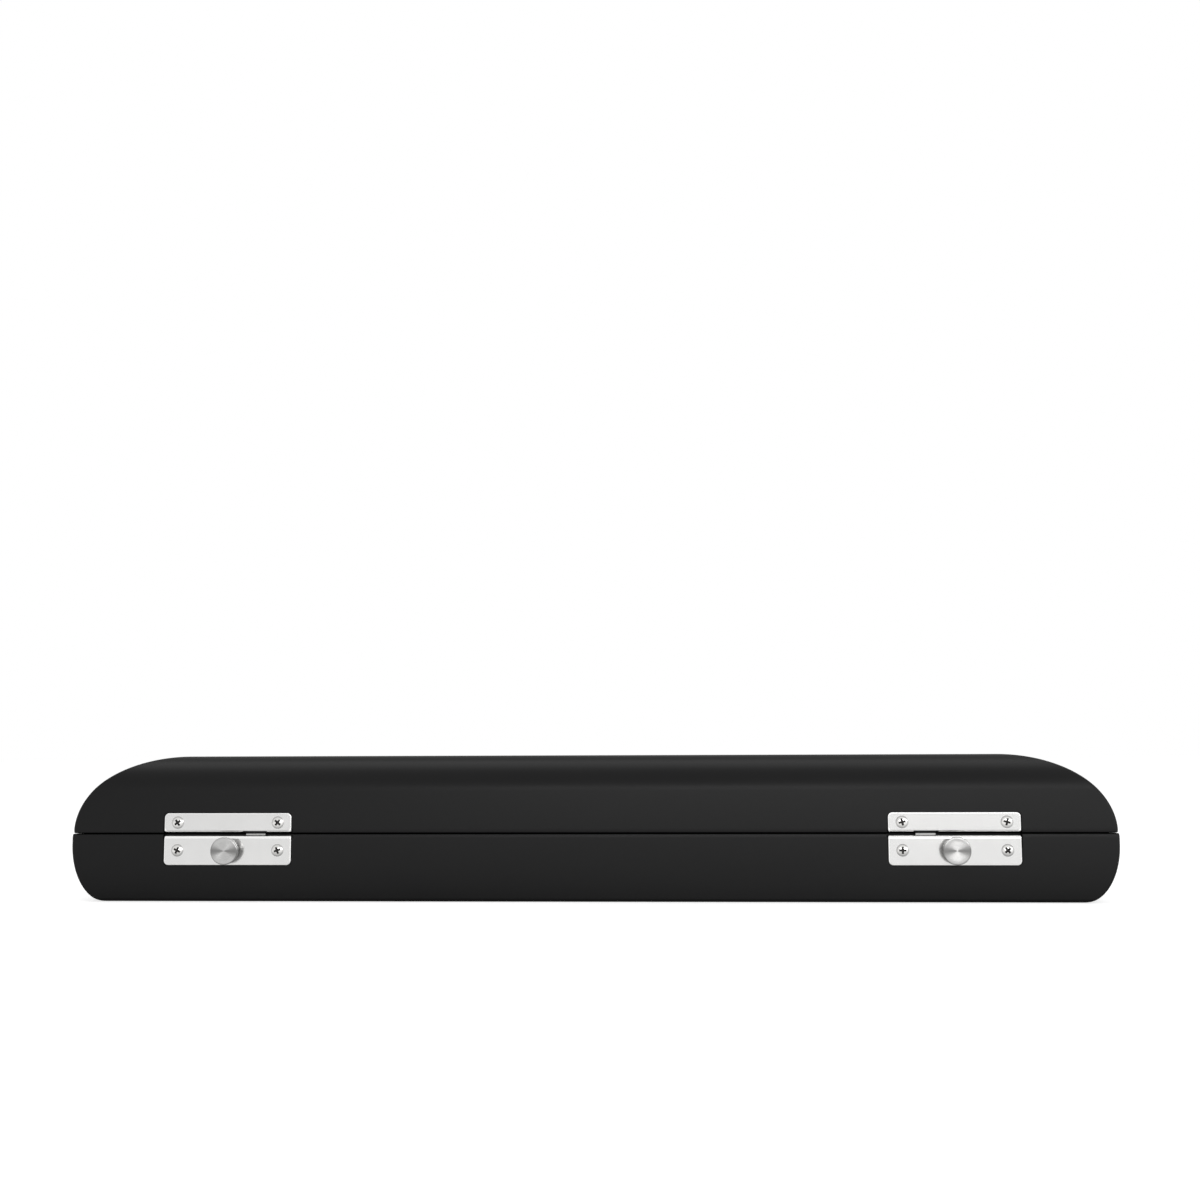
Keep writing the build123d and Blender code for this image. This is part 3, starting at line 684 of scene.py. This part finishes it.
# each fitting is a box: x outwards from the middle of its latch or hinge, then y and z
lidFittings = {
    "plateBoss": ((-27.5, 27.5), (-51.8, -49.6), (29.4, 36.85)),
    "hingeBoss": ((-18.5, 18.5), (49.6, 51.8), (29.4, 40.65)),
    "plateSeat": ((-26.5, 26.5), (-56.0, latch["seatY"]), (25.0, 35.85)),
    "flangeSlot": ((-26.5, 26.5), (-53.9, -51.75), (25.0, 28.9)),
    "tongueSlot": ((-15.15, -7.05), (-53.9, -51.55), (25.0, 31.7)),
}


def makeLidShell():
    f = lidForm
    rim = f["rim"]
    inside = [(f["halfX"] - f["wall"], f["halfY"] - f["wall"], rim, f["innerCorner"])]
    inside += lidWall(f["wall"], f["innerCorner"], rim)
    outside = rimRound(lidOutline, rim, 1, f["edge"])
    outside += lidWall(0.0, f["edge"], rim + rimForm["tall"])
    form = ringForm(inside[::-1] + outside, f["cornerSteps"])
    piece = makePiece("lid_shell_moulding", form, shellBlack)
    addFittings(piece, lidFittings, lambda place: place.z > rim)
    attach(piece, "lid")
    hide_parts("lid_shell")
    return piece


knobZ = latch["knobZ"]
baseFittings = {
    "plateBoss": ((-27.5, 27.5), (-51.8, -49.62), (13.0, 21.5)),
    "hingeBoss": ((-18.5, 18.5), (49.62, 51.8), (13.65, 21.5)),
    "plateSeat": ((-26.5, 26.5), (-56.0, latch["seatY"]), (14.0, 28.0)),
    "flangeSlot": ((-26.5, 26.5), (-53.9, -51.75), (25.25, 28.0)),
    "boltChannel": ((-10.0, 9.0), (-53.9, -51.45), (knobZ - 3.15, knobZ + 3.15)),
    "tongueSlot": ((-15.4, -6.8), (-53.9, -51.45), (15.15, 28.0)),
    "springChannel": ((5.0, 16.7), (-53.9, -50.65), (knobZ - 1.35, knobZ + 1.35)),
    "rivetRoom": ((-2.6, 6.2), (-53.9, -50.85), (knobZ - 2.6, knobZ + 2.6)),
}
baseForm = {
    "halfX": 210.0, "halfY": 54.0, "height": 27.0, "endLength": 13.8, "endHeight": 22.7,
    "wall": 2.5, "edge": 1.4, "bandLow": 21.0, "lipInnerX": 205.1,
    "lipInnerY": 49.6, "lipX": 206.6, "lipY": 51.1, "lipTop": 29.0, "lipBevel": 0.3, "lipInnerBevel": 0.2,
    "innerCorner": 0.8, "cornerSteps": 6, "crown": 0.8,
    "endSteps": 48, "edgeSteps": 8, "leastStep": 0.002,
}


def baseOutline(z):
    f = baseForm
    return f["halfX"], f["halfY"] - f["crown"] * ((f["height"] - z) / f["height"]) ** 2


def baseWall(inset, radius, highest):
    # rings of the base's outside, or of its hollow, from the floor up
    f = baseForm
    length = f["endLength"] - inset
    drop = f["endHeight"] - inset
    turns = [math.radians(90 * i / f["endSteps"]) for i in range(f["endSteps"] + 1)]
    heights = [f["endHeight"] - drop * math.cos(turn) for turn in turns]
    if inset == 0:
        turns = [math.radians(90 * i / f["edgeSteps"]) for i in range(f["edgeSteps"] + 1)]
        heights += [f["edge"] * (1 - math.cos(turn)) for turn in turns]
    rings = []
    last = -1
    for z in sorted(heights):
        if z - last < f["leastStep"] or z >= highest:
            continue
        last = z
        along = math.sqrt(max(0, 1 - ((f["endHeight"] - z) / drop) ** 2))
        halfX = f["halfX"] - f["endLength"] + length * along
        halfY = f["halfY"] - inset
        if inset == 0:
            halfY = baseOutline(z)[1]
            if z < f["edge"]:
                halfY += f["edge"] * (math.sqrt(max(0, 1 - (1 - z / f["edge"]) ** 2)) - 1)
        rings.append((halfX, halfY, z, radius))
    return rings


def makeBaseShell():
    f = baseForm
    corner = f["innerCorner"]
    inner = baseWall(f["wall"], corner, f["bandLow"])
    wide = (inner[-1][0], inner[-1][1], f["bandLow"], corner)
    innerX, innerY = f["lipInnerX"], f["lipInnerY"]
    lip = [
        (innerX, innerY, f["bandLow"], corner),
        (innerX, innerY, f["lipTop"] - f["lipInnerBevel"], corner),
        (innerX + f["lipInnerBevel"], innerY + f["lipInnerBevel"], f["lipTop"], corner),
        (f["lipX"] - f["lipBevel"], f["lipY"] - f["lipBevel"], f["lipTop"], corner),
        (f["lipX"], f["lipY"], f["lipTop"] - f["lipBevel"], corner),
        (f["lipX"], f["lipY"], f["height"], corner),
    ]
    rim = rimRound(baseOutline, f["height"], -1, f["edge"])
    outer = baseWall(0.0, f["edge"], f["height"] - rimForm["tall"] - rimForm["clear"])[::-1]
    form = ringForm(inner + [wide] + lip + rim + outer, f["cornerSteps"])
    piece = makePiece("base_shell_moulding", form, shellBlack)
    addFittings(piece, baseFittings, lambda place: place.z < f["height"])
    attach(piece, "base")
    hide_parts("base_shell")
    return piece


lidShell = makeLidShell()
baseShell = makeBaseShell()
print("shells made:", len(lidShell.data.polygons), len(baseShell.data.polygons), "faces")


# knobs
knobForm = {
    "radius": 5.5, "edge": 0.45, "dish": 0.05, "waist": 0.5, "foot": -54.7, "top": -59.2,
    "shank": 1.6, "boltBack": -51.6, "rivet": 2.2, "rivetEnd": -51.0,
    "footBevel": 0.12, "rivetBevelY": 0.2, "rivetBevelR": 0.4,
    "ridgePitch": 0.20, "ridgeHeight": 0.007, "edgeSteps": 6, "sharp": 40, "steps": 96,
}


def makeKnob(name, side):
    k = knobForm
    centre = Vector((side * latch["x"], 0, latch["knobZ"]))
    ridged = k["radius"] - 2 * k["edge"]
    count = int(ridged / k["ridgePitch"] * 4)       # four points to a ridge
    profile = []
    for i in range(count + 1):
        r = ridged * i / count
        # the ridges die out over the last quarter
        wave = k["ridgeHeight"] * math.cos(2 * math.pi * r / k["ridgePitch"]) * min(1, 4 * (1 - r / ridged))
        profile.append((r, k["top"] + k["dish"] * (1 - r / ridged) - wave))
    for i in range(k["edgeSteps"] + 1):
        turn = math.radians(90 * i / k["edgeSteps"])
        profile.append((
            k["radius"] - k["edge"] * (1 - math.sin(turn)),
            k["top"] + k["edge"] * (1 - math.cos(turn)),
        ))
    waist = k["radius"] - k["waist"]
    profile += [
        (waist, k["foot"] - k["footBevel"]), (waist - k["footBevel"], k["foot"]),
        (k["shank"], k["foot"]), (k["shank"], k["boltBack"]), (k["rivet"], k["boltBack"]),
        (k["rivet"], k["rivetEnd"] - k["rivetBevelY"]), (k["rivet"] - k["rivetBevelR"], k["rivetEnd"]),
        (0, k["rivetEnd"]),
    ]
    form = bmesh.new()
    points = [form.verts.new((centre + Vector((r, y, 0))) * mm) for r, y in profile]
    edges = [form.edges.new(pair) for pair in zip(points, points[1:])]
    bmesh.ops.spin(form, geom=points + edges, cent=centre * mm, axis=(0, 1, 0), angle=2 * math.pi,
                   steps=k["steps"], use_merge=True)
    bmesh.ops.remove_doubles(form, verts=form.verts, dist=weld)
    piece = makePiece(f"{name}_knob_turned", form, knobNickel)
    piece.data.set_sharp_from_angle(angle=math.radians(k["sharp"]))
    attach(piece, f"{name}_latch")
    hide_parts(f"{name}_latch_knob")


makeKnob("left", -1)
makeKnob("right", 1)
print("knobs made")


def makeSpring(name):
    # a welded copy of the latch's spring, fixed to the base; the real spring shortens towards its outboard
    # end as the bolt is drawn back
    form = bmesh.new()
    form.from_mesh(nodes[f"{name}_latch_spring"].data)
    bmesh.ops.remove_doubles(form, verts=form.verts, dist=weld)
    piece = makePiece(f"{name}_spring_coil", form, worksSteel)
    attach(piece, "base")
    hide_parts(f"{name}_latch_spring")
    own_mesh(piece)


makeSpring("left")
makeSpring("right")
print("springs made")


# tray
trayForm = {
    "voxel": 0.0012, "smoothing": 5, "recessCorner": 6.0, "floor": 6.0, "top": 24.5,
    "halfX": 204.8, "halfY": 49.3, "corner": 2.0, "cornerSteps": 4, "topEdge": 0.6,
    "pucker": 0.00012, "puckerScale": 160, "puckerSink": 0.4,
    "straight": 196.2, "endLength": 11.0, "endHeight": 22.7, "endDrop": 19.9, "endSteps": 16,
    "headStrip": 4.0, "headWide": (-148.5, -102.5),
    "rodEnd": 20.0, "rodY": (-2.5, 4.5), "rodFloor": 16.5, "rodCorner": 3.4,
}


def makeTray():
    t = trayForm
    rings = []
    for i in range(t["endSteps"] + 1):
        z = t["endHeight"] - t["endDrop"] * math.cos(math.radians(90 * i / t["endSteps"]))
        along = math.sqrt(max(0, 1 - ((t["endHeight"] - z) / t["endDrop"]) ** 2))
        halfX = min(t["straight"] + t["endLength"] * along, t["halfX"])
        rings.append((halfX, t["halfY"], z, t["corner"]))
    rings.append((t["halfX"], t["halfY"], t["top"] - t["topEdge"], t["corner"]))
    rings.append((t["halfX"] - t["topEdge"], t["halfY"] - t["topEdge"], t["top"], t["corner"]))
    piece = makePiece("tray_plush_insert", ringForm(rings, t["cornerSteps"]), trayPlush)
    front = [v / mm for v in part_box("tray_front_rail")[1]]
    middle = [[v / mm for v in corner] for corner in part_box("tray_middle_rail")]
    rear = [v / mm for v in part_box("tray_rear_rail")[0]]
    divider = [[v / mm for v in corner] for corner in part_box("tray_divider")]
    half = middle[1][0]
    rearRow = (middle[1][1], rear[1])
    headRow = (rearRow[0] + t["headStrip"], rearRow[1] - t["headStrip"])
    above = t["top"] + 5        # clear of the top
    for x, y, low, corner in (
        ((-half, half), (front[1], middle[0][1]), t["floor"], t["recessCorner"]),
        ((-half, divider[0][0]), headRow, t["floor"], t["recessCorner"]),
        (t["headWide"], rearRow, t["floor"], t["recessCorner"]),
        ((divider[1][0], half), rearRow, t["floor"], t["recessCorner"]),
        ((-half + t["rodEnd"], half - t["rodEnd"]), t["rodY"], t["rodFloor"], t["rodCorner"]),
    ):
        cuts = bmesh.new()
        addBox(cuts, x, y, (low, above), 2, corner)
        cutWith(piece, "DIFFERENCE", cuts)
    change = piece.modifiers.new("remesh", "REMESH")
    change.mode = "VOXEL"
    change.voxel_size = t["voxel"]
    change.use_smooth_shade = True
    applyAll(piece)
    form = bmesh.new()
    form.from_mesh(piece.data)
    for _ in range(t["smoothing"]):
        bmesh.ops.smooth_vert(form, verts=form.verts, factor=0.5,
                              use_axis_x=True, use_axis_y=True, use_axis_z=True)
    for vertex in form.verts:
        wave = noise.noise(vertex.co * t["puckerScale"]) - t["puckerSink"]
        vertex.co += vertex.normal * wave * t["pucker"]
    form.to_mesh(piece.data)
    form.free()
    piece.data.shade_smooth()
    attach(piece, "base")
    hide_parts(*[name for name in nodes if name.startswith("tray_")])
    return piece


tray = makeTray()
print("tray made:", len(tray.data.polygons), "faces")


# lid pad
padForm = {
    "shrink": 2.2, "edge": 5.0, "corner": 9.0, "cornerBelow": 5.0, "topEdge": 1.0, "boardGap": 0.1,
    "boardBand": 2.5, "edgeSteps": 6, "cornerSteps": 6, "voxel": 0.005,
    "pressure": 4.0, "quality": 6, "frames": 20, "most": 0.005,
}


def makeLidPad():
    p = padForm
    low, high = [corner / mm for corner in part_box("lid_pad")]
    halfX = high.x - p["shrink"]
    halfY = high.y - p["shrink"]
    bottom = low.z + p["shrink"]
    top = high.z - p["boardGap"]
    rings = [(halfX - p["edge"], halfY - p["edge"], bottom, p["cornerBelow"])]
    for i in range(1, p["edgeSteps"] + 1):
        turn = math.radians(90 * i / p["edgeSteps"])
        back = p["edge"] * (1 - math.sin(turn))
        z = bottom + p["edge"] * (1 - math.cos(turn))
        rings.append((halfX - back, halfY - back, z, p["corner"] - back))
    rings.append((halfX, halfY, top - p["topEdge"], p["corner"]))
    rings.append((halfX - p["topEdge"], halfY - p["topEdge"], top, p["corner"] - p["topEdge"]))
    piece = makePiece("lid_pad_plush", ringForm(rings, p["cornerSteps"]), padPlush)
    change = piece.modifiers.new("remesh", "REMESH")
    change.mode = "VOXEL"
    change.voxel_size = p["voxel"]
    applyAll(piece)
    swellPad(piece, top)
    change = piece.modifiers.new("smooth", "SUBSURF")
    change.levels = 1
    change.render_levels = 1
    applyAll(piece)
    piece.data.shade_smooth()
    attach(piece, "lid")
    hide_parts("lid_pad")
    return piece


def swellPad(piece, top):
    # the cover swells over its foam; the side against the board stays flat
    start = [vertex.co.copy() for vertex in piece.data.vertices]
    pinned = piece.vertex_groups.new(name="board")
    band = (top - padForm["boardBand"]) * mm
    pinned.add([v.index for v in piece.data.vertices if v.co.z > band], 1.0, "REPLACE")
    cloth = piece.modifiers.new("cloth", "CLOTH")
    cloth.settings.use_pressure = True
    cloth.settings.uniform_pressure_force = padForm["pressure"]
    cloth.settings.effector_weights.gravity = 0
    cloth.settings.vertex_group_mass = "board"
    cloth.settings.quality = padForm["quality"]
    scene = bpy.context.scene
    for step in range(1, padForm["frames"] + 1):
        scene.frame_set(step)
    graph = bpy.context.evaluated_depsgraph_get()
    moved = [vertex.co.copy() for vertex in piece.evaluated_get(graph).data.vertices]
    piece.modifiers.clear()
    scene.frame_set(1)
    for vertex, old, new in zip(piece.data.vertices, start, moved):
        shift = new - old
        if shift.length > padForm["most"]:
            shift *= padForm["most"] / shift.length
        vertex.co = old + shift
    piece.vertex_groups.clear()


lidPad = makeLidPad()
print("lid pad made:", len(lidPad.data.polygons), "faces")


# floor, light and camera
stage = {
    "floorSize": 60.0, "floorGap": 0.0002, "floorGrain": 60.0, "floorColour": (0.84, 0.86),
    "floorRoughness": 0.9, "floorSpecular": 0.1, "floorLift": 0.70,
    "nearLift": 0.05, "nearRange": (0.0, 0.12),
    "worldLight": 0.35, "ceilingDim": 1.0, "ceilingBack": (0.0, 0.3), "ceilingLow": (0.1, 0.3),
    "ceilingHigh": (0.95, 0.85),
}


def addSeenRays(tree):
    # 1 where the background is seen straight on, in gloss or through glass
    ray = addNode(tree, "ShaderNodeLightPath")
    both = addNode(tree, "ShaderNodeMath", {"operation": "MAXIMUM"})
    every = addNode(tree, "ShaderNodeMath", {"operation": "MAXIMUM"})
    join(tree, ray, "Is Camera Ray", both, 0)
    join(tree, ray, "Is Glossy Ray", both, 1)
    join(tree, both, "Value", every, 0)
    join(tree, ray, "Is Transmission Ray", every, 1)
    return every


def makeFloor():
    form = bmesh.new()
    bmesh.ops.create_grid(form, x_segments=1, y_segments=1, size=stage["floorSize"] / 2)
    bmesh.ops.translate(form, vec=(0, 0, -stage["floorGap"]), verts=form.verts)
    material, tree, shader, places = blankMaterial("paleFloor")
    grain = useGroup(tree, grainGroup, places, {"Scale": stage["floorGrain"]})
    low, high = stage["floorColour"]
    colour = addColours(tree, grain, "Mask", (low,) * 3, (high,) * 3)
    join(tree, colour, 2, shader, "Base Color")
    shader.inputs["Roughness"].default_value = stage["floorRoughness"]
    shader.inputs["Specular IOR Level"].default_value = stage["floorSpecular"]
    shader.inputs["Emission Color"].default_value = (1, 1, 1, 1)
    # what gloss sees of the floor close by is the case's own shade
    ray = addNode(tree, "ShaderNodeLightPath")
    far = addRange(tree, ray, "Ray Length", stage["nearLift"], stage["floorLift"], *stage["nearRange"])
    lift = addNode(tree, "ShaderNodeMath", {"operation": "MULTIPLY"})
    join(tree, addSeenRays(tree), "Value", lift, 0)
    join(tree, far, "Result", lift, 1)
    join(tree, lift, "Value", shader, "Emission Strength")
    floor = makePiece("floor", form, material, False)


def makeWorld():
    world = bpy.data.worlds.new("studio")
    bpy.context.scene.world = world
    world.use_nodes = True
    tree = world.node_tree
    back = tree.nodes["Background"]
    back.inputs["Color"].default_value = (1, 1, 1, 1)
    # the studio's rear ceiling is dim in gloss, and white wherever it is seen straight on
    ray = addNode(tree, "ShaderNodeLightPath")
    places = addNode(tree, "ShaderNodeTexCoord")
    split = addNode(tree, "ShaderNodeSeparateXYZ")
    join(tree, places, "Generated", split, "Vector")
    dim = addRange(tree, split, "Y", 0.0, stage["ceilingDim"], *stage["ceilingBack"])
    for low, high in (stage["ceilingLow"], stage["ceilingHigh"]):
        edge = addRange(tree, split, "Z", 0.0, 1.0, low, high)
        both = addNode(tree, "ShaderNodeMath", {"operation": "MULTIPLY"})
        join(tree, dim, 0, both, 0)
        join(tree, edge, "Result", both, 1)
        dim = both
    bright = addNode(tree, "ShaderNodeMath", {"operation": "SUBTRACT"}, {0: 1.0})
    join(tree, dim, "Value", bright, 1)
    gloss = addNode(tree, "ShaderNodeMath", {"operation": "MULTIPLY"})
    join(tree, ray, "Is Glossy Ray", gloss, 0)
    join(tree, bright, "Value", gloss, 1)
    straight = addNode(tree, "ShaderNodeMath", {"operation": "MAXIMUM"})
    join(tree, ray, "Is Camera Ray", straight, 0)
    join(tree, ray, "Is Transmission Ray", straight, 1)
    seen = addNode(tree, "ShaderNodeMath", {"operation": "MAXIMUM"})
    join(tree, gloss, "Value", seen, 0)
    join(tree, straight, "Value", seen, 1)
    strength = addRange(tree, seen, "Value", stage["worldLight"], 1.0)
    join(tree, strength, "Result", back, "Strength")


softboxes = {
    "front": {"place": (0.85, -2.2, 0.47), "aim": (0, 0, 0.03), "size": (3.0, 0.5), "power": 18.5},
    "above": {"place": (0.0, 0.2, 1.4), "aim": (0, 0, 0.03), "size": (2.4, 0.9), "power": 6.5},
    "right": {"place": (1.7, -0.4, 0.6), "aim": (0, 0, 0.03), "size": (0.6, 0.8), "power": 2.0},
}


def makeLights():
    for name, box in softboxes.items():
        data = bpy.data.lights.new(name, "AREA")
        data.shape = "RECTANGLE"
        data.size, data.size_y = box["size"]
        data.energy = box["power"]
        lamp = bpy.data.objects.new(name, data)
        lamp.location = box["place"]
        lamp.rotation_euler = (Vector(box["aim"]) - Vector(box["place"])).to_track_quat("-Z", "Y").to_euler()
        bpy.context.scene.collection.objects.link(lamp)


view = {
    "place": (0.036, -0.6508, 0.0575), "yaw": -2.911, "pitch": 6.056, "roll": -0.185,
    "sensor": 36, "focalPixels": 1479.0, "framePixels": 1200,
}


def makeCamera():
    data = bpy.data.cameras.new("camera")
    data.sensor_width = view["sensor"]
    data.lens = view["sensor"] * view["focalPixels"] / view["framePixels"]
    data.clip_start = 0.01
    camera = bpy.data.objects.new("camera", data)
    turn = Matrix.Rotation(math.radians(-view["yaw"]), 4, "Z")
    tilt = Matrix.Rotation(math.radians(90 + view["pitch"]), 4, "X")
    roll = Matrix.Rotation(math.radians(view["roll"]), 4, "Z")
    camera.matrix_world = Matrix.Translation(view["place"]) @ turn @ tilt @ roll
    bpy.context.scene.collection.objects.link(camera)
    bpy.context.scene.camera = camera


makeFloor()
makeWorld()
makeLights()
makeCamera()
bpy.context.scene.view_settings.view_transform = "Standard"
print("floor, light and camera made")
